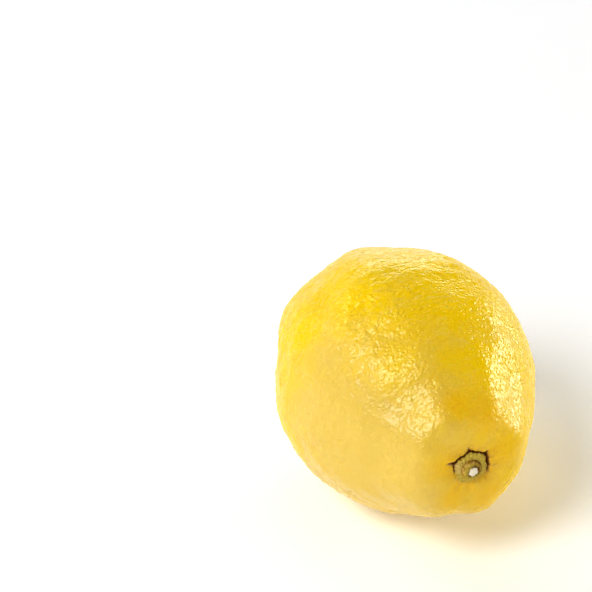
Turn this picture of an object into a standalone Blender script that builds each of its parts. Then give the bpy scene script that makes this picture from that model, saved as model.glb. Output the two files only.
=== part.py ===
"""A whole lemon lying on its side, with the dry ends of its stem and flower, for Blender 4.5.

The fruit lies along Y: its stem end faces -Y and its blossom end, with the nipple, faces +Y.
The origin is the middle of the small flat spot that it rests on, and +Z is up.
Lengths are in metres and angles in degrees.

A direction from the middle of the fruit is given by two angles. "along" is measured from the
stem end, so 0 is the stem and 180 the nipple. "around" turns about the fruit's length, with 0 on
the +X side and 90 on top.
"""

import math

import bmesh
import bpy
from mathutils import Vector

# The body: two half ovals that meet at the widest section.
GIRTH_RADIUS = 0.0327
STEM_REACH = 0.0411  # from the widest section to the stem end, before its hollow
BLOSSOM_REACH = 0.0408  # from the widest section to the other end, without the nipple
FULLNESS = 1.77  # 2 would make an ellipsoid, and less draws the ends out

# The collar: the raised shoulder round the stem end, gathered into soft folds, and the
# shallow hollow inside it.
COLLAR_HEIGHT = 0.0032
COLLAR_ALONG = 19.5
COLLAR_SPREAD = 10.2
FOLD_ALONG = 24.0
FOLD_SPREAD = 12.0
FOLDS = ((5, 0.00038, -31.0), (8, 0.00033, -125.0))  # how many go round, how high, their turn
HOLLOW_DEPTH = 0.0012
HOLLOW_SPREAD = 9.0

# The nipple at the blossom end, and the furrow along one side of its root.
NIPPLE_HEIGHT = 0.0068
NIPPLE_SPREAD = 10.5
NIPPLE_STEEPNESS = 3.0  # 2 would be a bell, and more makes a flatter top with steeper sides
FURROW_DEPTH = 0.0011
FURROW_FROM_TIP = 14.0
FURROW_SPREAD = 3.6
FURROW_AROUND = 200.0

# The flats: one flank of the blossom half is faintly faceted, with rounded corners between.
FLAT_COUNT = 7  # how many there would be if they went all the way round
FLAT_HEIGHT = 0.0008
FLAT_ALONG = 125.0
FLAT_SPREAD = 35.0
FLAT_CORNER = 97.0  # where one of the corners lies, as an angle around
FLAT_FLANK = 145.0  # the side where they are deepest

# The flat spot: how deep the resting plane cuts into the fruit.
REST_DEPTH = 0.0006

# The calyx: a dry ring with five points, round the stem.
CALYX_RADIUS = 0.0043
CALYX_POINTS = (41.0, 93.0, 146.0, 226.0, 335.0)  # where each point lies, as an angle around
CALYX_POINT_LENGTH = 0.0008
CALYX_POINT_SPREAD = 14.0
CALYX_EDGE_THICKNESS = 0.0011
CALYX_INNER_THICKNESS = 0.0015

# The stem stub: what stays in the calyx when the fruit is snapped off its twig.
STEM_ROOT_RADIUS = 0.0026
STEM_TIP_RADIUS = 0.0021
STEM_LENGTH = 0.0028
CORE_RADIUS = 0.0012
CORE_RISE = 0.0002  # how far the core bulges out of the broken end

# The style stub: the dry end left on the nipple's tip.
STYLE_ROOT_RADIUS = 0.0012
STYLE_TIP_RADIUS = 0.0009
STYLE_LENGTH = 0.0016

# How these pieces are let into the fruit.
CALYX_SEAT_DEPTH = 0.0010
STYLE_SEAT_DEPTH = 0.0007
CLEARANCE = 0.0003
CUTTER_HEIGHT = 0.0060

# How finely the round surfaces are divided.
FRUIT_SEGMENTS = 64
FRUIT_RINGS = 44
RING_CROWDING = 0.55  # 0 spaces the rings evenly, and more draws them towards both ends
TURNED_STEPS = 60
SMOOTH_BELOW = 35.0  # edges sharper than this stay crisp

CENTRE = Vector((0.0, 0.0, GIRTH_RADIUS - REST_DEPTH))
STEMWARD = Vector((0.0, -1.0, 0.0))


def direction(along, around):
    """The unit vector from the middle of the fruit at these two angles."""
    along, around = math.radians(along), math.radians(around)
    ring = math.sin(along)
    return Vector((ring * math.cos(around), -math.cos(along), ring * math.sin(around)))


def bell(angle, spread, steepness=2.0):
    """1 where the angle is 0, falling smoothly to nothing a little past the spread."""
    return math.exp(-(abs(angle / spread) ** steepness))


def folds(around):
    """The height of the gathers in the collar, as they go round the stem."""
    return sum(high * math.cos(math.radians(count * around + turn)) for count, high, turn in FOLDS)


def body_reach(along):
    """How far the plain oval body reaches from its middle."""
    half_length = STEM_REACH if along < 90.0 else BLOSSOM_REACH
    lengthwise = abs(math.cos(math.radians(along))) / half_length
    crosswise = math.sin(math.radians(along)) / GIRTH_RADIUS
    return (lengthwise**FULLNESS + crosswise**FULLNESS) ** (-1.0 / FULLNESS)


def flats(along, around):
    """The height of the flats and their corners, which fade away from their flank."""
    one_side = 0.5 + 0.5 * math.cos(math.radians(around - FLAT_FLANK))
    wave = math.cos(math.radians(FLAT_COUNT * (around - FLAT_CORNER)))
    return FLAT_HEIGHT * wave * one_side**2 * bell(along - FLAT_ALONG, FLAT_SPREAD)


def fruit_reach(along, around):
    """How far the rind lies from the middle of the fruit at these two angles."""
    from_tip = 180.0 - along
    collar = COLLAR_HEIGHT * bell(along - COLLAR_ALONG, COLLAR_SPREAD)
    gathers = folds(around) * bell(along - FOLD_ALONG, FOLD_SPREAD)
    hollow = HOLLOW_DEPTH * bell(along, HOLLOW_SPREAD)
    nipple = NIPPLE_HEIGHT * bell(from_tip, NIPPLE_SPREAD, NIPPLE_STEEPNESS)
    one_side = 0.5 + 0.5 * math.cos(math.radians(around - FURROW_AROUND))
    furrow = FURROW_DEPTH * one_side * bell(from_tip - FURROW_FROM_TIP, FURROW_SPREAD)
    ends = collar + gathers - hollow + nipple - furrow
    return body_reach(along) + ends + flats(along, around)


def crowded(along):
    """Moves a ring towards the nearer end of the fruit, where the shape is finer."""
    return along - RING_CROWDING * math.degrees(math.sin(2.0 * math.radians(along))) / 2.0


def calyx_point(around):
    """How far the calyx reaches beyond its radius at this angle."""
    apart = [abs((around - point + 180.0) % 360.0 - 180.0) for point in CALYX_POINTS]
    return sum(CALYX_POINT_LENGTH * bell(away, CALYX_POINT_SPREAD) for away in apart)


def no_point(around):
    return 0.0


def material(name, colour, roughness):
    made = bpy.data.materials.new(name)
    made.use_nodes = True
    shader = made.node_tree.nodes["Principled BSDF"]
    shader.inputs["Base Color"].default_value = (*colour, 1.0)
    shader.inputs["Roughness"].default_value = roughness
    shader.inputs["Metallic"].default_value = 0.0
    made.diffuse_color = (*colour, 1.0)
    return made


def new_object(name, bm, surface=None):
    mesh = bpy.data.meshes.new(name)
    bm.to_mesh(mesh)
    bm.free()
    made = bpy.data.objects.new(name, mesh)
    bpy.context.scene.collection.objects.link(made)
    if surface:
        mesh.materials.append(surface)
        mesh.shade_smooth()
        mesh.set_sharp_from_angle(angle=math.radians(SMOOTH_BELOW))
    return made


def turned(name, profile, point_at, surface=None):
    """Spins (radius, height) pairs about the fruit's length, with heights towards -Y.

    A profile that starts off the axis is closed into a ring. point_at gives how far the widest
    radius grows at each angle around, and the smaller radii grow less.
    """
    bm = bmesh.new()
    outline = [bm.verts.new((radius, -height, 0.0)) for radius, height in profile]
    pairs = list(zip(outline, outline[1:]))
    if profile[0][0] > 0.0:
        pairs.append((outline[-1], outline[0]))
    edges = [bm.edges.new(pair) for pair in pairs]
    bmesh.ops.spin(
        bm,
        geom=outline + edges,
        axis=(0.0, -1.0, 0.0),
        cent=(0.0, 0.0, 0.0),
        angle=math.tau,
        steps=TURNED_STEPS,
        use_merge=True,
    )
    widest = max(radius for radius, _ in profile)
    for vert in bm.verts:
        radius = math.hypot(vert.co.x, vert.co.z)
        around = math.degrees(math.atan2(vert.co.z, vert.co.x))
        grown = 1.0 + point_at(around) * radius / widest**2
        vert.co.x *= grown
        vert.co.z *= grown
    bmesh.ops.remove_doubles(bm, verts=bm.verts, dist=1e-6)
    bmesh.ops.recalc_face_normals(bm, faces=bm.faces)
    return new_object(name, bm, surface)


def cut_from(target, cutter):
    cutter.hide_render = True
    cutter.display_type = "WIRE"
    cut = target.modifiers.new("Cut " + cutter.name, "BOOLEAN")
    cut.operation = "DIFFERENCE"
    cut.solver = "EXACT"
    cut.object = cutter


def make_fruit(surface):
    """The whole rind and flesh as one solid, cut flat where it rests."""
    bm = bmesh.new()
    bmesh.ops.create_uvsphere(bm, u_segments=FRUIT_SEGMENTS, v_segments=FRUIT_RINGS, radius=1.0)
    for vert in bm.verts:
        along = crowded(math.degrees(math.acos(max(-1.0, min(1.0, vert.co.z)))))
        around = math.degrees(math.atan2(vert.co.y, vert.co.x))
        vert.co = CENTRE + fruit_reach(along, around) * direction(along, around)
    below = bmesh.ops.bisect_plane(
        bm,
        geom=bm.verts[:] + bm.edges[:] + bm.faces[:],
        dist=1e-6,
        plane_co=(0.0, 0.0, 0.0),
        plane_no=(0.0, 0.0, -1.0),
        clear_outer=True,
    )
    rim = [item for item in below["geom_cut"] if isinstance(item, bmesh.types.BMEdge)]
    bmesh.ops.edgeloop_fill(bm, edges=rim)
    bmesh.ops.recalc_face_normals(bm, faces=bm.faces)
    return new_object("fruit", bm, surface)


def cut_pocket(name, fruit, radius, point_at, floor, facing):
    """Cuts a pocket of this outline into the fruit. Its floor is one clearance below floor."""
    wall = radius + CLEARANCE
    outline = ((0.0, 0.0), (wall, 0.0), (wall, CUTTER_HEIGHT), (0.0, CUTTER_HEIGHT))
    pocket = turned(name, outline, point_at)
    pocket.location = floor - facing * CLEARANCE
    pocket.rotation_euler.z = turn_to_face(facing)
    cut_from(fruit, pocket)


def turn_to_face(facing):
    """Turned pieces are made facing the stem's way, so one for the other end turns half round."""
    return 0.0 if facing == STEMWARD else math.pi


def make_calyx(surface, fruit, seat):
    inside = STEM_ROOT_RADIUS + CLEARANCE
    outline = (
        (inside, 0.0),
        (CALYX_RADIUS, 0.0),
        (CALYX_RADIUS, CALYX_EDGE_THICKNESS),
        (inside, CALYX_INNER_THICKNESS),
    )
    calyx = turned("calyx", outline, calyx_point, surface)
    calyx.location = seat
    cut_pocket("calyx_pocket", fruit, CALYX_RADIUS, calyx_point, seat, STEMWARD)


def make_stem(surface, seat):
    """The stub stands on the calyx pocket's floor, in the middle of the calyx."""
    outline = (
        (0.0, 0.0),
        (STEM_ROOT_RADIUS, 0.0),
        (STEM_TIP_RADIUS, STEM_LENGTH),
        (CORE_RADIUS, STEM_LENGTH),
        (0.0, STEM_LENGTH + CORE_RISE),
    )
    stem = turned("stem_stub", outline, no_point, surface)
    stem.location = seat


def make_style(surface, fruit):
    """The dry end on the nipple, in a small round pocket."""
    seat = CENTRE - STEMWARD * (fruit_reach(180.0, 0.0) - STYLE_SEAT_DEPTH)
    outline = (
        (0.0, 0.0),
        (STYLE_ROOT_RADIUS, 0.0),
        (STYLE_TIP_RADIUS, STYLE_LENGTH),
        (0.0, STYLE_LENGTH),
    )
    style = turned("style_stub", outline, no_point, surface)
    style.location = seat
    style.rotation_euler.z = turn_to_face(-STEMWARD)
    cut_pocket("style_pocket", fruit, STYLE_ROOT_RADIUS, no_point, seat, -STEMWARD)


def main():
    for old in list(bpy.data.objects):
        bpy.data.objects.remove(old)
    rind = material("rind", (0.84, 0.56, 0.02), 0.38)
    sepals = material("calyx", (0.36, 0.30, 0.06), 0.60)
    wood = material("stem", (0.42, 0.36, 0.12), 0.70)
    dry = material("style", (0.10, 0.06, 0.03), 0.80)
    fruit = make_fruit(rind)
    stem_seat = CENTRE + STEMWARD * (fruit_reach(0.0, 0.0) - CALYX_SEAT_DEPTH)
    make_calyx(sepals, fruit, stem_seat)
    make_stem(wood, stem_seat)
    make_style(dry, fruit)


main()
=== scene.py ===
"""The finished look of a lemon: a pored and folded rind, a dry calyx and stem stub, the dry end
of the flower on its nipple, and a plain studio round it. Run it as a script in Blender 4.5.

Lengths are in metres and angles in degrees. The fruit lies along Y, its stem end facing -Y, on a
flat spot at the origin. A direction from its middle has two angles: "along" runs from 0 at the
stem to 180 at the nipple, and "around" turns about the fruit's length, from +X towards the top.
"""

import math

import bpy
import numpy as np
from bpy.props import FloatProperty, FloatVectorProperty, PointerProperty
from mathutils import Matrix, Vector


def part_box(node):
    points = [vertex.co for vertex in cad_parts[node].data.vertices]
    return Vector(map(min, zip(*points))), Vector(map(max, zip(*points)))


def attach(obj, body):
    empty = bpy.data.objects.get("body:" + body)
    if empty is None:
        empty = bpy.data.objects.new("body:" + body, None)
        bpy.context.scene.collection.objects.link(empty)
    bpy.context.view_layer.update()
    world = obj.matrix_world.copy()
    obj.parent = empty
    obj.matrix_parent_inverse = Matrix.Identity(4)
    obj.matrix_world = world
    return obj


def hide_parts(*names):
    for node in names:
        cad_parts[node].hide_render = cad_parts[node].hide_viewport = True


bl_info = {
    "name": "Lemon finish",
    "version": (1, 0, 0),
    "blender": (4, 5, 0),
    "location": "3D View > Sidebar > Lemon",
    "description": "Builds a lemon's rind, calyx, stem stub and style stub, and a studio",
    "category": "Object",
}

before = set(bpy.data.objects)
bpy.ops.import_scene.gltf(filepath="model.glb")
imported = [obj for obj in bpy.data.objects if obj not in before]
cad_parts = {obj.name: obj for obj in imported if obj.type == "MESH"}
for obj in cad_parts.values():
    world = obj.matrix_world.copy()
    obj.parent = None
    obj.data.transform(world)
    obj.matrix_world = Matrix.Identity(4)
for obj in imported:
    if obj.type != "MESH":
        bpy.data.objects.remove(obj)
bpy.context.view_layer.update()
FRUIT_LOW, FRUIT_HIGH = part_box("fruit")
CALYX_LOW, CALYX_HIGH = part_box("calyx")
STEM_LOW, STEM_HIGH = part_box("stem_stub")
STYLE_LOW, STYLE_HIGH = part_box("style_stub")

MM = 0.001
REST_DEPTH = 0.6 * MM
GIRTH = (FRUIT_HIGH.z + REST_DEPTH) / 2
AXIS_HEIGHT = GIRTH - REST_DEPTH
MIDDLE = Vector((0.0, 0.0, AXIS_HEIGHT))

# Where the collar, its folds and the hollow inside it lie, and over what spread.
COLLAR_ALONG, COLLAR_SPREAD = 19.5, 10.2
FOLD_ALONG, FOLD_SPREAD = 24.0, 12.0
HOLLOW_SPREAD = 9.0
# How many soft folds go round the collar, how high they are, and their turn.
FOLDS = ((5, 0.38 * MM, -31.0), (8, 0.33 * MM, -125.0))
# The nipple's spread and steepness, and where the furrow lies: from the tip, its spread, around.
NIPPLE_SPREAD, NIPPLE_STEEPNESS = 10.5, 3.0
FURROW_FROM_TIP, FURROW_SPREAD, FURROW_AROUND = 14.0, 3.6, 200.0
# The faint flats on one flank: how many would go right round, their height, where along and
# over what spread, where one corner between them lies, and the side where they are deepest.
FLAT_COUNT = 7
FLAT_HEIGHT = 0.8 * MM
FLAT_ALONG = 125.0
FLAT_SPREAD = 35.0
FLAT_CORNER = 97.0
FLAT_FLANK = 145.0
# Smaller lumps and dents of the shoulder round the stem: along, around, height, spread.
LUMPS = (
    (25.0, 120.0, 0.50 * MM, 6.0),
    (20.0, 80.0, -0.30 * MM, 7.0),
    (11.0, 153.0, -0.30 * MM, 5.0),
    (13.0, 98.0, 0.22 * MM, 3.5),
    (12.5, 203.0, 0.28 * MM, 5.0),
    (15.0, 263.0, 0.28 * MM, 5.0),
    (14.5, 298.0, -0.25 * MM, 5.0),
    (20.0, 36.0, 0.30 * MM, 5.0),
    (13.0, 30.0, -0.25 * MM, 5.0),
    (21.0, 4.0, -0.38 * MM, 3.5),
    (22.0, 255.0, -0.32 * MM, 3.0),
    (35.0, 138.0, -0.55 * MM, 5.0),
    (37.0, 110.0, -0.20 * MM, 5.0),
    (47.0, 129.0, 0.30 * MM, 6.0),
    (28.0, 96.0, -0.08 * MM, 4.5),
    (31.0, 62.0, 0.25 * MM, 5.0),
)
# Where the skin is smoothest, and where it is most pebbled: along, around, spread.
SLEEK = ((44.0, 192.0, 26.0), (65.0, 232.0, 36.0))
PEBBLED = ((45.0, 42.0, 30.0), (80.0, 60.0, 34.0), (105.0, 100.0, 36.0), (95.0, 150.0, 26.0))
# Where the rind is palest, partly its own paler tone and partly painted reflection of the bright floor:
# along, around, spread.
PALE_AND_FLOOR_SHEEN = ((40.0, 165.0, 42.0), (70.0, 250.0, 42.0), (150.0, 270.0, 40.0))
# Where amber painted shade darkens the valleys near the stem: along, around, spread.
AMBER_SHADE = (
    (11.0, 153.0, 6.5),
    (26.0, 98.0, 5.0),
    (21.0, 70.0, 8.0),
    (13.0, 20.0, 7.0),
    (14.0, 298.0, 7.0),
    (12.0, 235.0, 5.0),
)
# The calyx's five points, and how far the rind has split beyond each.
CALYX_POINTS = (
    (41.0, 1.9 * MM),
    (93.0, 2.3 * MM),
    (146.0, 3.3 * MM),
    (226.0, 1.2 * MM),
    (335.0, 1.3 * MM),
)
# Where the split between calyx and rind gapes widest, as a turn round the stem.
GAPE = 78.0
# How far along the splits, gathers and shading round the calyx may reach.
STEM_HALF = 60.0


def length(name, description, default):
    return FloatProperty(
        name=name, description=description, default=default, unit="LENGTH", precision=5
    )


def colour(name, description, default):
    return FloatVectorProperty(
        name=name, description=description, default=default, subtype="COLOR", size=3, min=0.0, max=1.0
    )


class LemonForm(bpy.types.PropertyGroup):
    """Sizes of the fruit and of what is on its ends."""

    stem_reach: length("Stem reach", "From the widest section to the stem end", 41.1 * MM)
    blossom_reach: length("Blossom reach", "To the blossom end, without the nipple", 40.8 * MM)
    fullness: FloatProperty(
        name="Fullness", description="2 makes an ellipsoid, and less draws the ends out", default=1.77
    )
    collar_height: length("Collar height", "Height of the shoulder round the stem", 3.2 * MM)
    hollow_depth: length("Hollow depth", "Depth of the hollow that the calyx sits in", 1.2 * MM)
    nipple_height: length("Nipple height", "How far the nipple stands out", 6.8 * MM)
    furrow_depth: length("Furrow depth", "Depth of the crease at the nipple's root", 1.1 * MM)
    calyx_radius: length("Calyx radius", "Radius of the calyx between its points", 4.3 * MM)
    calyx_point: length("Calyx point", "How far each point of the calyx reaches further", 0.55 * MM)
    crack_depth: length("Crack depth", "Depth of the split between calyx and rind", 1.2 * MM)
    pucker: length("Pucker", "Height of the gathers close round the calyx", 0.09 * MM)
    swell: length("Swell", "Height of the rind's broad unevenness", 0.16 * MM)
    pebble: length("Pebble", "Height of the rind's fine unevenness", 0.035 * MM)
    gland_spacing: length("Gland spacing", "Size of one oil gland's cell", 0.95 * MM)
    gland_depth: length("Gland depth", "Scale of the relief that makes the pores", 0.145 * MM)


class LemonFinish(bpy.types.PropertyGroup):
    """Colours of the surfaces."""

    deep: colour("Deep yellow", "Rind where it is ripest", (0.97, 0.665, 0.0))
    # Pale yellow is partly the rind's own paler tone and partly painted reflection of the bright floor, where
    # the pale patches lie.
    pale: colour("Pale yellow", "Rind where it is palest", (0.81, 0.585, 0.13))
    # Amber is painted shade in the folds' valleys near the stem.
    amber: colour("Amber", "Rind in the folds near the stem", (0.94, 0.575, 0.0))
    gland: colour("Gland", "Pale dots over the oil glands", (0.92, 0.69, 0.16))
    # Scar is the dry splits' own brown, and is also painted shade in the crevices round the calyx and in the
    # stem stub's groove.
    scar_and_shade: colour("Scar", "Dry splits in the rind round the calyx", (0.20, 0.075, 0.006))
    corky: colour("Corky", "Rind beside a dry split", (0.50, 0.26, 0.05))
    scuff: colour("Scuff", "Rubbed patches of the rind", (0.84, 0.66, 0.30))
    sepal: colour("Sepal", "Calyx where it is green", (0.62, 0.48, 0.08))
    sepal_dry: colour("Dry sepal", "Calyx where it has dried", (0.72, 0.54, 0.18))
    bark: colour("Bark", "Side of the stem stub", (0.48, 0.34, 0.05))
    wood: colour("Wood", "Broken end of the stem stub", (0.58, 0.45, 0.07))
    pith: colour("Pith", "Core of the stem stub", (0.95, 0.89, 0.74))
    style: colour("Style", "Dry end of the flower", (0.07, 0.035, 0.015))
    style_tip: colour("Style tip", "Its paler broken tip", (0.45, 0.32, 0.16))


class LemonStudio(bpy.types.PropertyGroup):
    """The camera, floor and lights."""

    distance: length("Camera distance", "From the camera to the middle of the fruit", 0.70)
    height: FloatProperty(name="Camera height", description="Angle above level, in degrees", default=36.0)
    turn: FloatProperty(name="Camera turn", description="Angle from the stem end, in degrees", default=-23.8)
    lens: FloatProperty(name="Lens", description="Focal length in millimetres", default=169.0)
    right: length("Right", "How far the fruit lies right of the middle of the view", 27.05 * MM)
    down: length("Down", "How far the fruit lies below the middle of the view", 20.8 * MM)
    floor: colour("Floor", "Colour of the floor", (0.95, 0.95, 0.95))
    exposure: FloatProperty(name="Exposure", description="In stops", default=-0.43)
    glow: FloatProperty(name="Glow", description="Light that the floor itself gives", default=0.18)
    sky: FloatProperty(name="Sky", description="Strength of the light from overhead", default=0.10)
    horizon: FloatProperty(name="Horizon", description="Strength of the low light all round", default=1.0)


# ---- Shapes as functions of angles ----


def direction(along, around):
    """Unit vectors from the middle of the fruit: along is turned away from -Y, then round Y."""
    along, around = np.radians(along), np.radians(around)
    ring = np.sin(along)
    return np.stack([ring * np.cos(around), -np.cos(along), ring * np.sin(around)], axis=-1)


def angles_of(ways):
    """The two angles of unit vectors, in degrees."""
    along = np.degrees(np.arccos(np.clip(-ways[..., 1], -1.0, 1.0)))
    return along, np.degrees(np.arctan2(ways[..., 2], ways[..., 0]))


def bell(angle, spread, steepness=2.0):
    """1 at angle 0, falling smoothly to nothing a little past the spread."""
    return np.exp(-np.abs(angle / spread) ** steepness)


def cap(ways, along, around, spread):
    """1 in one direction from the middle, falling to nothing round it."""
    away = np.arccos(np.clip(ways @ direction(along, around), -1.0, 1.0))
    return bell(np.degrees(away), spread)


def among(ways, patches):
    """1 inside any of several patches, falling to nothing round them."""
    return np.clip(sum(cap(ways, *patch) for patch in patches), 0.0, 1.0)


def smooth(value, low, high):
    """0 below low and 1 above high, by the cubic 3t^2 - 2t^3 between them."""
    t = np.clip((value - low) / (high - low), 0.0, 1.0)
    return t * t * (3.0 - 2.0 * t)


def apart(around, other):
    """The angle between two turns, from 0 to 180."""
    return np.abs((around - other + 180.0) % 360.0 - 180.0)


def ripples(points, shortest, longest, seed, stretch=(1.0, 1.0, 1.0), count=56):
    """Uneven waves over points: a sum of cosines in random directions, with wavelengths between
    shortest and longest, scaled so that its typical height is 1. A stretch below 1 along an axis
    draws the waves out along it."""
    dice = np.random.default_rng(seed)
    ways = dice.normal(size=(count, 3))
    ways /= np.linalg.norm(ways, axis=1, keepdims=True)
    turns = 2.0 * np.pi * ways * np.array(stretch) / dice.uniform(shortest, longest, (count, 1))
    starts = dice.uniform(0.0, 2.0 * np.pi, count)
    return np.cos(points @ turns.T + starts).sum(axis=-1) / math.sqrt(count / 2.0)


def calyx_outline(form, around):
    """The calyx's rim: its radius, and a bell further at each of its five points."""
    reach = sum(bell(apart(around, turn), 18.0) for turn, _ in CALYX_POINTS)
    return form.calyx_radius + form.calyx_point * reach


def plain_reach(form, along, around):
    """The fruit before its calyx is set in: two half superellipses that meet at the widest
    section, a bell for the collar, cosines for its folds, a bell for the hollow inside it, a
    steep bell for the nipple, one for the furrow, a cosine for the flats, and a cap for each lump."""
    half = np.where(along < 90.0, form.stem_reach, form.blossom_reach)
    lengthwise = np.abs(np.cos(np.radians(along))) / half
    crosswise = np.sin(np.radians(along)) / GIRTH
    reach = (lengthwise**form.fullness + crosswise**form.fullness) ** (-1.0 / form.fullness)
    reach += form.collar_height * bell(along - COLLAR_ALONG, COLLAR_SPREAD)
    folds = sum(height * np.cos(np.radians(count * around + turn)) for count, height, turn in FOLDS)
    reach += folds * bell(along - FOLD_ALONG, FOLD_SPREAD)
    reach -= form.hollow_depth * bell(along, HOLLOW_SPREAD)
    from_tip = 180.0 - along
    reach += form.nipple_height * bell(from_tip, NIPPLE_SPREAD, NIPPLE_STEEPNESS)
    one_side = 0.5 + 0.5 * np.cos(np.radians(around - FURROW_AROUND))
    reach -= form.furrow_depth * one_side * bell(from_tip - FURROW_FROM_TIP, FURROW_SPREAD)
    flank = (0.5 + 0.5 * np.cos(np.radians(around - FLAT_FLANK))) ** 2
    wave = np.cos(np.radians(FLAT_COUNT * (around - FLAT_CORNER)))
    reach += FLAT_HEIGHT * wave * flank * bell(along - FLAT_ALONG, FLAT_SPREAD)
    here = direction(along, around)
    for its_along, its_around, height, spread in LUMPS:
        reach += height * cap(here, its_along, its_around, spread)
    return reach


def split_amount(form, radius, around):
    """How open the dry splits are, from 0 to 1: one outlines the calyx, and a narrow tapering one
    runs out from each of its points. radius is the distance from the stem's axis."""
    beyond = radius - calyx_outline(form, around)
    # The split gapes most over the stem, and the material paints it darkest there: the split's own brown,
    # with painted shade in the crevice.
    gape = 0.08 + 0.92 * smooth(180.0 - apart(around, GAPE), 68.0, 115.0)
    ragged = 0.12 * np.cos(np.radians(17.0 * around)) + 0.10 * np.cos(np.radians(29.0 * around + 50.0))
    ring = gape * (1.0 - smooth(beyond, 0.05 * MM, (0.24 + (0.66 + ragged) * gape) * MM))
    for turn, reach in CALYX_POINTS:
        across = radius * np.sin(np.radians(np.minimum(apart(around, turn + beyond / (0.4 * MM)), 90.0)))
        taper = np.clip(1.0 - beyond / reach, 0.0, 1.0)
        ring = np.maximum(ring, 0.7 * gape * taper * bell(across, (0.18 + 0.50 * taper) * MM))
    return ring


def rind_points(form, ways):
    """The rind, point by point: the plain fruit, its uneven skin, and the splits round the calyx.
    Returns the points and what the skin is like at each."""
    along, around = angles_of(ways)
    # Draw the grid towards both ends, where the shape is finer.
    from_tip = 180.0 - along
    along = along * (1.0 - 0.68 * bell(along, 34.0)) + from_tip * 0.35 * bell(from_tip, 24.0)
    from_tip = 180.0 - along
    reach = plain_reach(form, along, around)
    ways = direction(along, around)
    smooth_end = bell(from_tip, 12.0, 4.0)
    near_stem = bell(along, 10.0, 3.0)
    spots = ways * reach[:, None]
    body = (1.0 - 0.8 * smooth_end) * (1.0 - 0.7 * near_stem)
    drawn_round = (0.55, 1.0, 0.55)
    swell = ripples(spots, 9.0 * MM, 20.0 * MM, 3) + 0.45 * ripples(spots, 3.5 * MM, 7.0 * MM, 5, drawn_round)
    patchy = smooth(ripples(spots, 18.0 * MM, 40.0 * MM, 7), -1.2, 1.2)
    pebble = ripples(spots, 1.9 * MM, 3.2 * MM, 11) * (0.5 + patchy)
    reach = reach + body * (form.swell * swell + form.pebble * pebble)
    radius = reach * np.sin(np.radians(along))
    beyond = radius - calyx_outline(form, around)
    pucker = np.cos(np.radians(13.0 * around)) + 0.7 * np.cos(np.radians(22.0 * around + 70.0))
    puckered = smooth(beyond, -1.0 * MM, 0.0) * bell(beyond / (3.0 * MM), 1.0) * (along < STEM_HALF)
    reach = reach + form.pucker * pucker * puckered
    split = np.where(along < STEM_HALF, split_amount(form, radius, around), 0.0)
    reach = reach - form.crack_depth * split
    points = ways * reach[:, None] + np.array(MIDDLE)
    skin = {
        "split": split,
        "rough": 0.80 + 0.45 * among(ways, PEBBLED) - 0.50 * among(ways, SLEEK),
        "gland": (1.0 - smooth_end) * (1.0 - 0.85 * bell(along, 11.0, 4.0)),
        "halo": halo_shade(form, along, around, radius),
        # Amber painted shade in the folds' valleys and round the calyx.
        "fold": painted_fold_shade(form, ways, along, around, radius),
        "scuff": scuff_shade(spots, along, around),
        # The pale patches: partly the rind's own paler tone, partly painted reflection of the bright floor.
        "pale": among(ways, PALE_AND_FLOOR_SHEEN),
    }
    return points, skin


def painted_fold_shade(form, ways, along, around, radius):
    """Painted shade in amber, from 0 to 1: in the valleys between the collar's folds, and close
    round the calyx in narrow rays."""
    patches = among(ways, AMBER_SHADE)
    beyond = radius - calyx_outline(form, around)
    rays = 0.6 + 0.4 * np.cos(np.radians(13.0 * around + 40.0)) * np.cos(np.radians(5.0 * around))
    close = rays * bell(beyond / (2.2 * MM), 1.0) * (along < STEM_HALF)
    return np.clip(0.85 * patches + 0.7 * close, 0.0, 1.0)


def halo_shade(form, along, around, radius):
    """Tan skin just outside the splits, from 0 to 1: a band that fades outwards, broad over the
    stem and thin under it."""
    beyond = radius - calyx_outline(form, around)
    over = 0.2 + 0.8 * smooth(180.0 - apart(around, GAPE), 60.0, 120.0)
    clumps = 0.6 + 0.4 * np.cos(np.radians(7.0 * around + 30.0)) * np.cos(np.radians(4.0 * around))
    return over * clumps * bell(beyond / (1.7 * MM), 1.5) * (along < STEM_HALF)


def scuff_shade(spots, along, around):
    """Rubbed skin from 0 to 1: a broken patch on the furrow's side of the nipple's root."""
    from_tip = 180.0 - along
    side = 0.5 + 0.5 * np.cos(np.radians(around - FURROW_AROUND))
    broken = smooth(ripples(spots, 1.2 * MM, 4.0 * MM, 13), -0.4, 2.2)
    return broken * side * bell(from_tip - 22.0, 9.0)


# ---- Meshes ----


def cube_ball(cells):
    """Six square grids bulged onto a ball and joined along their edges. On each, a point is the
    side's middle plus tan(u) and tan(v) across it, brought to length 1. Returns unit vectors,
    faces, and a place on a 3 by 2 sheet for each corner of each face."""
    line = np.linspace(-1.0, 1.0, cells + 1)
    u, v = np.meshgrid(line, line, indexing="ij")
    across, up = np.tan(u * np.pi / 4.0)[..., None], np.tan(v * np.pi / 4.0)[..., None]
    first = np.arange(cells)[:, None] * (cells + 1) + np.arange(cells)[None, :]
    quads = np.stack([first, first + cells + 1, first + cells + 2, first + 1], axis=-1).reshape(-1, 4)
    points, faces, places = [], [], []
    for side in range(6):
        middle = np.zeros(3)
        middle[side % 3] = 1.0 if side < 3 else -1.0
        one = np.roll(np.abs(middle), 1)
        other = np.cross(middle, one)
        points.append((middle + across * one + up * other).reshape(-1, 3))
        faces.append(quads + side * (cells + 1) ** 2)
        tile = 0.5 + 0.48 * np.stack([u, v], axis=-1).reshape(-1, 2)
        places.append((tile + [side % 3, side // 3]) / [3.0, 2.0])
    points, faces, places = np.concatenate(points), np.concatenate(faces), np.concatenate(places)
    points /= np.linalg.norm(points, axis=1, keepdims=True)
    rounded = np.round(points * 1e6).astype(np.int64)
    _, kept, index = np.unique(rounded, axis=0, return_index=True, return_inverse=True)
    return points[kept], index.reshape(-1)[faces], places[faces]


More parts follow.
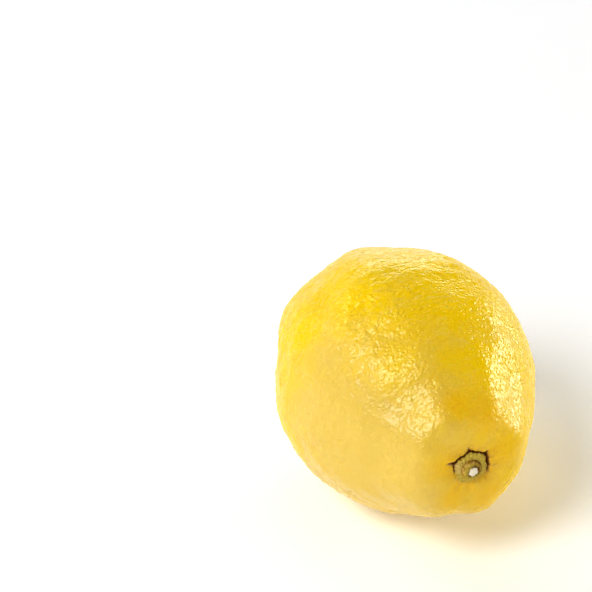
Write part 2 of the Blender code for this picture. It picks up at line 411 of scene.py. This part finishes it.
def turned_grid(radii, heights, around):
    """A profile carried round an axis. radii and heights have a row for each point of the
    profile and a column for each angle around, and both ends close on the axis."""
    rows, columns = radii.shape
    flat = np.stack([radii * np.cos(around), heights, radii * np.sin(around)], axis=-1).reshape(-1, 3)
    ends = np.array([[0.0, heights[0].mean(), 0.0], [0.0, heights[-1].mean(), 0.0]])
    here = np.arange(rows - 1)[:, None] * columns + np.arange(columns)[None, :]
    beside = np.arange(rows - 1)[:, None] * columns + (np.arange(columns)[None, :] + 1) % columns
    quads = np.stack([here, beside, beside + columns, here + columns], axis=-1).reshape(-1, 4)
    turn, after = np.arange(columns), (np.arange(columns) + 1) % columns
    start, end = np.full(columns, rows * columns), np.full(columns, rows * columns + 1)
    last = (rows - 1) * columns
    fans = np.concatenate([np.stack([start, after, turn], 1), np.stack([end, turn + last, after + last], 1)])
    return np.concatenate([flat, ends]), quads.tolist() + fans.tolist()


def ring_grid(radii, heights, around):
    """The same for a closed cross-section, which makes a ring."""
    rows, columns = radii.shape
    points = np.stack([radii * np.cos(around), heights, radii * np.sin(around)], axis=-1).reshape(-1, 3)
    row, column = np.arange(rows)[:, None], np.arange(columns)[None, :]
    down, beside = (row + 1) % rows, (column + 1) % columns
    here, below = row * columns, down * columns
    corners = [here + column, here + beside, below + beside, below + column]
    return points, np.stack(corners, axis=-1).reshape(-1, 4).tolist()


def walk_profile(corners, steps):
    """Points spaced evenly along straight runs between a profile's corners, without its two ends.
    Returns how far along each lies, its two coordinates as columns, and how far along each
    corner lies."""
    corners = np.array(corners)
    knots = np.concatenate([[0.0], np.cumsum(np.linalg.norm(np.diff(corners, axis=0), axis=1))])
    run = np.linspace(knots[0], knots[-1], steps)[1:-1]
    share = np.interp(run, knots, corners[:, 0])[:, None]
    high = np.interp(run, knots, corners[:, 1])[:, None]
    return run, share, high, knots


def stand_on(points, base, facing):
    """Moves points made about the origin, with their height along +Y, to stand on a base on the
    fruit's axis. facing is -1 for the stem's end and 1 for the nipple's."""
    return points * [1.0, facing, 1.0] + [0.0, base, AXIS_HEIGHT]


def new_piece(name, points, faces, material, shades=None, places=None):
    """A smooth mesh object with faces outwards. shades are values for each point, and places the
    corners' places on the sheet that the colours are baked to."""
    mesh = bpy.data.meshes.new(name)
    mesh.from_pydata(points, [], faces)
    mesh.update()
    mesh.calc_loop_triangles()
    corners = np.empty(len(mesh.loop_triangles) * 3, np.int32)
    mesh.loop_triangles.foreach_get("vertices", corners)
    if np.linalg.det(points[corners.reshape(-1, 3)]).sum() < 0.0:
        mesh.flip_normals()
    for shade, values in (shades or {}).items():
        mesh.attributes.new(shade, "FLOAT", "POINT").data.foreach_set("value", values.astype(np.float32))
    if places is not None:
        mesh.uv_layers.new(name="OFBake").data.foreach_set("uv", places.astype(np.float32).ravel())
    mesh.shade_smooth()
    mesh.materials.append(material)
    made = bpy.data.objects.new(name, mesh)
    bpy.context.scene.collection.objects.link(made)
    return made


# ---- Materials ----


class Term:
    """One output of a node. Adding, subtracting and multiplying it adds Math nodes."""

    def __init__(self, shader, socket):
        self.shader = shader
        self.socket = socket

    def math(self, operation, first, second):
        return self.shader.node("ShaderNodeMath", {"operation": operation}, {0: first, 1: second})

    def __add__(self, other):
        return self.math("ADD", self, other)

    __radd__ = __add__

    def __sub__(self, other):
        return self.math("SUBTRACT", self, other)

    def __rsub__(self, other):
        return self.math("SUBTRACT", other, self)

    def __mul__(self, other):
        return self.math("MULTIPLY", self, other)

    __rmul__ = __mul__


class Nodes:
    """A node tree whose nodes are made by one method."""

    def __init__(self, tree):
        self.tree = tree

    def node(self, kind, settings=None, sockets=None, output=0):
        made = self.tree.nodes.new(kind)
        for name, value in (settings or {}).items():
            setattr(made, name, value)
        for name, value in (sockets or {}).items():
            self.feed(made.inputs[name], value)
        return Term(self, made.outputs[output])

    def feed(self, socket, value):
        if isinstance(value, Term):
            self.tree.links.new(value.socket, socket)
        elif socket.type == "RGBA":
            socket.default_value = (*value, 1.0)
        else:
            socket.default_value = value

    def ramp(self, value, low, high, to_low=0.0, to_high=1.0):
        """A smooth step from to_low, where the value is low, to to_high, where it is high."""
        sockets = {"Value": value, "From Min": low, "From Max": high, "To Min": to_low, "To Max": to_high}
        return self.node("ShaderNodeMapRange", {"interpolation_type": "SMOOTHSTEP"}, sockets)

    def mix(self, share, first, second):
        """A colour between first and second."""
        return self.node("ShaderNodeMix", {"data_type": "RGBA"}, {0: share, 6: first, 7: second}, 2)


class Shader(Nodes):
    """A new material with one Principled surface, whose patterns lie still on the fruit."""

    def __init__(self, name):
        self.material = bpy.data.materials.new(name)
        self.material.use_nodes = True
        super().__init__(self.material.node_tree)
        self.surface = self.tree.nodes["Principled BSDF"]
        self.place = self.node("ShaderNodeTexCoord", output="Object")

    def shade(self, name):
        """A value that the mesh holds for each point."""
        return self.node("ShaderNodeAttribute", {"attribute_name": name}, output="Fac")

    def noise(self, size, detail=2.0, roughness=0.5, stretch=None, distortion=0.0):
        """Cloudy noise from 0 to 1 with features of this size."""
        where = self.place
        if stretch:
            where = self.node("ShaderNodeMapping", {}, {"Vector": where, "Scale": stretch})
        sockets = {"Vector": where, "Scale": 1.0 / size, "Detail": detail, "Roughness": roughness}
        sockets["Distortion"] = distortion
        return self.node("ShaderNodeTexNoise", {}, sockets, "Fac")

    def cells(self, size, randomness=0.9):
        """The distance to the middle of the nearest of many cells, in cell sizes."""
        sockets = {"Vector": self.place, "Scale": 1.0 / size, "Randomness": randomness}
        return self.node("ShaderNodeTexVoronoi", {}, sockets, "Distance")

    def relief(self, height, depth):
        """Raises and sinks the surface by a height from 0 to 1, times a depth."""
        sockets = {"Height": height, "Distance": depth, "Strength": 1.0}
        self.finish(Normal=self.node("ShaderNodeBump", {}, sockets, "Normal"))

    def finish(self, **sockets):
        """Sets sockets of the Principled surface. An underscore in a name stands for a space."""
        for name, value in sockets.items():
            self.feed(self.surface.inputs[name.replace("_", " ")], value)


def rind_material(form, look):
    """Waxy skin: sunken pores with pale dots in them, broad deep and pale areas, the pale partly
    painted reflection of the bright floor, amber painted shade in the folds, and dry splits that
    painted shade darkens where they gape over the stem. The pores are relief in the material, not
    in the mesh."""
    shader = Shader("lemon_rind")
    gland = shader.shade("gland")
    rough = shader.shade("rough")
    cell = shader.cells(form.gland_spacing)
    pore = shader.ramp(cell, 0.04, 0.48, 1.0, 0.0) * gland
    dot = shader.ramp(cell, 0.10, 0.30, 1.0, 0.0) * gland
    drift = shader.noise(16.0 * MM, 3.0, 0.55)
    streak = shader.noise(1.3 * MM, 2.0, 0.5, (0.45, 1.3, 0.45), 0.8)
    crinkle = shader.noise(2.4 * MM, 3.0, 0.55, (0.6, 1.25, 0.6), 0.6)
    pebbles = shader.noise(1.0 * MM, 1.0, 0.4, (0.8, 1.1, 0.8))
    height = 0.9 - 0.6 * pore * rough + (1.0 * crinkle + 1.9 * pebbles * rough) * (0.4 + 0.6 * gland)
    shader.relief(height, form.gland_depth)
    pale = shader.shade("pale")
    # The pale patches are partly the rind's own paler tone and partly painted reflection of the bright floor.
    colour = shader.mix(shader.ramp(0.9 * drift + 0.6 * pale, 0.45, 0.95), look.deep, look.pale)
    streaks = 0.45 * shader.ramp(streak, 0.52, 0.74) * gland * rough
    colour = shader.mix(dot * 0.30 + streaks, colour, look.gland)
    # Amber painted shade in the valleys between the folds and close round the calyx.
    colour = shader.mix(shader.shade("fold") * 0.85, colour, look.amber)
    colour = shader.mix(shader.shade("scuff") * 0.55, colour, look.scuff)
    split = shader.shade("split")
    broken = shader.ramp(shader.noise(0.8 * MM, 3.0, 0.6), 0.35, 0.65, 0.25, 1.0)
    colour = shader.mix(shader.shade("halo") * broken * 0.95, colour, look.corky)
    torn = split + split * (shader.noise(0.5 * MM, 2.0, 0.6) - 0.5) * 1.2
    colour = shader.mix(shader.ramp(torn, 0.02, 0.20) * 0.8, colour, look.corky)
    # The split's own brown, darkened by painted shade where it gapes over the stem.
    colour = shader.mix(shader.ramp(torn, 0.10, 0.36), colour, look.scar_and_shade)
    dry = shader.ramp(split, 0.05, 0.4)
    shader.finish(
        Base_Color=colour,
        Roughness=0.22 + 0.10 * drift + 0.45 * dry + 0.2 * shader.shade("scuff"),
        IOR=1.44,
        Subsurface_Weight=0.12,
        Subsurface_Radius=(1.0, 0.55, 0.08),
        Subsurface_Scale=2.0 * MM,
    )
    return shader.material


def calyx_material(look):
    """Dry sepal, green in patches, specked with brown, and dark at its rim: painted shade, most on the
    side over the stem, with a little of the torn rim's own brown.
    """
    shader = Shader("lemon_calyx")
    patch = shader.noise(1.6 * MM, 3.0, 0.6)
    speck = shader.noise(0.6 * MM, 3.0, 0.65)
    colour = shader.mix(shader.ramp(patch + shader.shade("dry"), 0.45, 0.75), look.sepal, look.sepal_dry)
    colour = shader.mix(shader.ramp(speck, 0.54, 0.72) * 0.75, colour, look.scar_and_shade)
    # Painted shade at the rim, most on the side over the stem.
    colour = shader.mix(shader.shade("rim_shade"), colour, look.scar_and_shade)
    shader.relief(speck + 0.8 * patch, 0.12 * MM)
    shader.finish(Base_Color=colour, Roughness=0.55 + 0.25 * speck, IOR=1.45)
    return shader.material


def stem_material(look):
    """Bark on the side, a ring of wood with darker pores on the broken end, and a pale core."""
    shader = Shader("lemon_stem")
    grain = shader.noise(0.35 * MM, 3.0, 0.65)
    patch = shader.noise(1.3 * MM, 2.0, 0.5)
    colour = shader.mix(shader.ramp(patch, 0.4, 0.65), look.bark, look.sepal_dry)
    colour = shader.mix(shader.shade("end"), colour, look.wood)
    colour = shader.mix(shader.ramp(grain, 0.52, 0.72) * 0.55, colour, look.scar_and_shade)
    # Painted shade in the groove round the core and in a band on the bark, most on the upper side, with some
    # of the groove's own dark dead tissue.
    colour = shader.mix(shader.shade("groove"), colour, look.scar_and_shade)
    pith = shader.mix(shader.ramp(grain, 0.3, 0.7) * 0.35, look.pith, look.sepal_dry)
    colour = shader.mix(shader.shade("core"), colour, pith)
    shader.relief(grain, 0.10 * MM)
    shader.finish(Base_Color=colour, Roughness=0.70 + 0.2 * grain, IOR=1.45)
    return shader.material


def style_material(look):
    """Dark dry tissue with a paler broken tip."""
    shader = Shader("lemon_style")
    grain = shader.noise(0.4 * MM, 3.0, 0.6)
    colour = shader.mix(shader.ramp(grain, 0.45, 0.7) * 0.5, look.style, look.style_tip)
    colour = shader.mix(shader.shade("end"), colour, look.style_tip)
    shader.relief(grain, 0.15 * MM)
    shader.finish(Base_Color=colour, Roughness=0.75 + 0.2 * grain, IOR=1.45)
    return shader.material


# ---- Operators ----


def keep_inside(points, low, high):
    """Draws points in, an axis at a time, just enough to lie between two corners."""
    for axis in range(3):
        lowest, highest = points[:, axis].min(), points[:, axis].max()
        share = min(1.0, (high[axis] - low[axis]) / (highest - lowest))
        middle = (lowest + highest) / 2.0
        points[:, axis] = middle + (points[:, axis] - middle) * share
        points[:, axis] += max(0.0, low[axis] - points[:, axis].min())
        points[:, axis] -= max(0.0, points[:, axis].max() - high[axis])
    return points


class LEMON_OT_rind(bpy.types.Operator):
    """Builds the rind over the whole fruit"""

    bl_idname = "lemon.rind"
    bl_label = "Rind"

    def execute(self, context):
        form, look = context.scene.lemon_form, context.scene.lemon_finish
        ways, faces, places = cube_ball(127)
        points, skin = rind_points(form, ways)
        # The rind flattens where it rests, rounding off over a fraction of a millimetre.
        ease = 0.25 * MM
        height = points[:, 2]
        points[:, 2] = (height + np.sqrt(height**2 + ease**2)) / 2.0
        points = keep_inside(points, FRUIT_LOW, FRUIT_HIGH)
        piece = new_piece("rind", points, faces.tolist(), rind_material(form, look), skin, places)
        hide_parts("fruit")
        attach(piece, "root")
        return {"FINISHED"}


class LEMON_OT_calyx(bpy.types.Operator):
    """Builds the dry ring of sepals round the stem"""

    bl_idname = "lemon.calyx"
    bl_label = "Calyx"

    def execute(self, context):
        """The cross-section is a squarish loop, cos(s)^0.6 across and sin(s)^0.6 up. Its top
        rises towards the stem, with radial wrinkles and a torn rim."""
        form, look = context.scene.lemon_form, context.scene.lemon_finish
        around = np.linspace(0.0, 2.0 * np.pi, 240, endpoint=False)
        loop = np.linspace(0.0, 2.0 * np.pi, 64, endpoint=False)[:, None]
        degrees = np.degrees(around)
        torn = 0.10 * np.cos(11 * around + 0.7) + 0.07 * np.cos(23 * around + 2.0)
        torn = torn + 0.05 * np.cos(37 * around)
        outer = calyx_outline(form, degrees) + torn * MM
        inner = STEM_HIGH.x - 0.25 * MM
        across = np.sign(np.cos(loop)) * np.abs(np.cos(loop)) ** 0.6
        up = np.sign(np.sin(loop)) * np.abs(np.sin(loop)) ** 0.6
        share = (across + 1.0) / 2.0
        radii = inner + (outer - inner) * share
        thick = CALYX_HIGH.y - CALYX_LOW.y
        wrinkle = 0.10 * np.cos(23 * around + 5.0 * share) + 0.07 * np.cos(37 * around + 1.0 - 4.0 * share)
        crown = thick * (0.98 - 0.34 * share**1.5) + wrinkle * MM * share * (1.0 - up.clip(-1, 0))
        heights = np.where(up > 0.0, crown * (0.5 + 0.5 * up), crown * 0.5 * (1.0 + up))
        # Painted shade: the rim is darkened most on the side over the stem, where the rind overhangs it, and
        # a little all round for the torn rim's own brown.
        upper = 0.1 + 0.9 * smooth(180.0 - apart(degrees, GAPE), 50.0, 125.0)
        rim_shade = smooth(share, 0.82, 0.97) * 0.9 * upper
        points, faces = ring_grid(radii, heights, around)
        points = stand_on(points, CALYX_HIGH.y, -1.0)
        dry = np.broadcast_to(0.35 * bell(apart(degrees, 170.0), 40.0) - 0.12, radii.shape)
        shades = {"rim_shade": rim_shade.ravel(), "dry": dry.ravel()}
        piece = new_piece("calyx_ring", points, faces, calyx_material(look), shades)
        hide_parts("calyx")
        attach(piece, "root")
        return {"FINISHED"}


class LEMON_OT_stem(bpy.types.Operator):
    """Builds the broken stem stub with its pale core"""

    bl_idname = "lemon.stem"
    bl_label = "Stem stub"

    def execute(self, context):
        """A profile from the root up the bark, over a rounded lip of wood, into a groove and up
        over the core, carried round with ridges in the bark and a torn lip."""
        look = context.scene.lemon_finish
        root, tall = STEM_HIGH.x, STEM_HIGH.y - STEM_LOW.y
        bark_side = ((0.0, 0.0), (1.0, 0.0), (1.0, 0.45), (0.93, 0.74), (0.83, 0.88))
        wood_and_core = ((0.66, 0.92), (0.54, 0.88), (0.49, 0.80), (0.46, 0.90), (0.36, 0.97), (0.0, 1.0))
        run, share, high, knots = walk_profile(bark_side + wood_and_core, 90)
        around = np.linspace(0.0, 2.0 * np.pi, 160, endpoint=False)
        past_root = smooth(run[:, None], knots[1], knots[3])
        core = smooth(run[:, None], knots[7], knots[8])
        bark = 0.03 * np.cos(13 * around + 0.4) + 0.02 * np.cos(21 * around + 2.2)
        bark = bark + 0.03 * np.cos(3 * around + 1.0)
        torn = 0.05 * np.cos(2 * around + 0.8) + 0.03 * np.cos(7 * around) + 0.025 * np.cos(12 * around + 1.0)
        frayed = 0.10 * np.cos(5 * around + 2.0) + 0.07 * np.cos(9 * around)
        radii = root * share * (1.0 + bark * (1.0 - core) + frayed * core)
        heights = tall * np.minimum(high * (1.0 + torn * past_root * (1.0 - core)), 1.0)
        # Painted shade, most on the upper side: in the groove round the core, which also holds dark dead
        # tissue of its own, and in a band down the bark's side.
        upper = 0.2 + 0.8 * bell(apart(np.degrees(around), 40.0), 70.0)
        shades = {
            "end": np.outer(smooth(run, knots[3], knots[4]), np.ones_like(around)),
            "groove": np.outer(bell(run - knots[6], 0.22) + bell(run - knots[2], 0.40), upper),
            "core": np.outer(core[:, 0], np.ones_like(around)),
        }
        points, faces = turned_grid(radii, heights, around)
        points = stand_on(points, STEM_HIGH.y, -1.0)
        full = {name: np.append(values, [values[0, 0], values[-1, 0]]) for name, values in shades.items()}
        piece = new_piece("stem_end", points, faces, stem_material(look), full)
        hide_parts("stem_stub")
        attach(piece, "root")
        return {"FINISHED"}


class LEMON_OT_style(bpy.types.Operator):
    """Builds the dry end of the flower on the nipple"""

    bl_idname = "lemon.style"
    bl_label = "Style stub"

    def execute(self, context):
        """A short cone carried round with five ribs, and a tip torn into points about a pit."""
        look = context.scene.lemon_finish
        root, tall = STYLE_HIGH.x, STYLE_HIGH.y - STYLE_LOW.y
        side = ((0.0, 0.0), (1.0, 0.0), (0.92, 0.5), (0.80, 0.9))
        pit = ((0.62, 1.0), (0.42, 0.85), (0.0, 0.7))
        run, share, high, knots = walk_profile(side + pit, 50)
        around = np.linspace(0.0, 2.0 * np.pi, 96, endpoint=False)
        tip = smooth(run[:, None], knots[2], knots[4])
        ribs = 0.08 * np.cos(5 * around + 0.5) + 0.05 * np.cos(9 * around + 1.9)
        torn = 0.16 * np.cos(5 * around + 0.5) + 0.10 * np.cos(8 * around + 2.6) - 0.16
        radii = root * share * (0.88 + ribs * (0.4 + 0.6 * tip))
        heights = tall * np.minimum(high * (1.0 + torn * tip), 1.0)
        points, faces = turned_grid(radii, heights, around)
        points = stand_on(points, STYLE_LOW.y, 1.0)
        end = np.repeat(smooth(run, knots[3], knots[5]) * 0.8, len(around))
        shades = {"end": np.append(end, [0.0, 0.0])}
        piece = new_piece("style_end", points, faces, style_material(look), shades)
        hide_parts("style_stub")
        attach(piece, "root")
        return {"FINISHED"}


def aimed(way, distance):
    """The place and turn of something that looks at the fruit's middle from this way."""
    place = MIDDLE + way * distance
    return Matrix.LocRotScale(place, way.to_track_quat("Z", "Y"), None)


def seen_from(turn, height):
    """The unit vector from the fruit towards a turn from the stem end and a height above level."""
    turn, height = math.radians(turn), math.radians(height)
    return Vector((math.sin(turn) * math.cos(height), -math.cos(turn) * math.cos(height), math.sin(height)))


# The lights: turn and height in degrees, distance, the panel's width and tallness in metres, and
# the brightness of its face.
PANELS = {
    "left_softbox": (-67.0, 48.0, 1.2, 0.62, 0.56, 10.5),
    "right_window": (88.0, 5.5, 1.4, 1.45, 0.165, 20.5),
    "back_panel": (157.0, 9.0, 1.6, 1.2, 0.40, 4.0),
    "left_bounce": (-138.0, 33.0, 1.3, 0.60, 0.30, 6.5),
    "top_panel": (156.0, 58.0, 1.3, 1.10, 0.50, 1.6),
}


class LEMON_OT_studio(bpy.types.Operator):
    """Builds the floor, lights and camera"""

    bl_idname = "lemon.studio"
    bl_label = "Studio"

    def execute(self, context):
        scene, studio = context.scene, context.scene.lemon_studio
        half = 1.2
        corners = np.array([[-half, -half, 0.0], [half, -half, 0.0], [half, half, 0.0], [-half, half, 0.0]])
        shader = Shader("studio_floor")
        shader.finish(Base_Color=studio.floor, Roughness=0.85)
        shader.finish(Emission_Color=studio.floor, Emission_Strength=studio.glow)
        floor = new_piece("floor", corners, [(0, 1, 2, 3)], shader.material)
        for name, (turn, height, distance, width, tall, brightness) in PANELS.items():
            lamp = bpy.data.lights.new(name, "AREA")
            lamp.shape, lamp.size, lamp.size_y = "ELLIPSE", width, tall
            lamp.energy = brightness * math.pi * math.pi * width * tall / 4
            panel = bpy.data.objects.new(name, lamp)
            scene.collection.objects.link(panel)
            panel.matrix_world = aimed(seen_from(turn, height), distance)
        scene.world = bpy.data.worlds.new("studio_sky")
        scene.world.use_nodes = True
        sky = Nodes(scene.world.node_tree)
        way = sky.node("ShaderNodeTexCoord", output="Generated")
        upward = sky.node("ShaderNodeSeparateXYZ", {}, {0: way}, "Z")
        light = scene.world.node_tree.nodes["Background"]
        sky.feed(light.inputs["Color"], (1.0, 1.0, 1.0))
        sky.feed(light.inputs["Strength"], sky.ramp(upward, 0.06, 0.34, studio.horizon, studio.sky))
        scene.view_settings.view_transform = "Standard"
        scene.view_settings.look = "High Contrast"
        scene.view_settings.exposure = studio.exposure
        self.add_camera(scene, studio)
        return {"FINISHED"}

    def add_camera(self, scene, studio):
        """The camera stands at its turn and height from the fruit's middle, and looks past it, so
        that the fruit lies right of and below the middle of the view."""
        back = seen_from(studio.turn, studio.height)
        right = Vector((0.0, 0.0, 1.0)).cross(back).normalized()
        up = back.cross(right)
        place = MIDDLE + back * studio.distance
        target = MIDDLE - right * studio.right + up * studio.down
        back = (place - target).normalized()
        right = (right - back * right.dot(back)).normalized()
        up = back.cross(right)
        lens = bpy.data.cameras.new("camera")
        lens.lens, lens.sensor_width = studio.lens, 36.0
        lens.clip_start, lens.clip_end = 0.01, 20.0
        camera = bpy.data.objects.new("camera", lens)
        scene.collection.objects.link(camera)
        turn = Matrix((right, up, back)).transposed()
        camera.matrix_world = Matrix.LocRotScale(place, turn, None)
        scene.camera = camera


OPERATORS = (LEMON_OT_rind, LEMON_OT_calyx, LEMON_OT_stem, LEMON_OT_style, LEMON_OT_studio)


class LEMON_PT_panel(bpy.types.Panel):
    """Lists the pieces to build and their sizes and colours"""

    bl_label = "Lemon"
    bl_space_type = "VIEW_3D"
    bl_region_type = "UI"
    bl_category = "Lemon"

    def draw(self, context):
        for operator in OPERATORS:
            self.layout.operator(operator.bl_idname)
        for group in (context.scene.lemon_form, context.scene.lemon_finish, context.scene.lemon_studio):
            for name in group.bl_rna.properties.keys():
                if name not in ("rna_type", "name"):
                    self.layout.prop(group, name)


GROUPS = {"lemon_form": LemonForm, "lemon_finish": LemonFinish, "lemon_studio": LemonStudio}


def register():
    for made in (*GROUPS.values(), *OPERATORS, LEMON_PT_panel):
        bpy.utils.register_class(made)
    for name, group in GROUPS.items():
        setattr(bpy.types.Scene, name, PointerProperty(type=group))


def unregister():
    for name in GROUPS:
        delattr(bpy.types.Scene, name)
    for made in (LEMON_PT_panel, *reversed(OPERATORS), *reversed(list(GROUPS.values()))):
        bpy.utils.unregister_class(made)


def main():
    register()
    bpy.ops.lemon.rind()
    bpy.ops.lemon.calyx()
    bpy.ops.lemon.stem()
    bpy.ops.lemon.style()
    bpy.ops.lemon.studio()


if __name__ == "__main__":
    main()
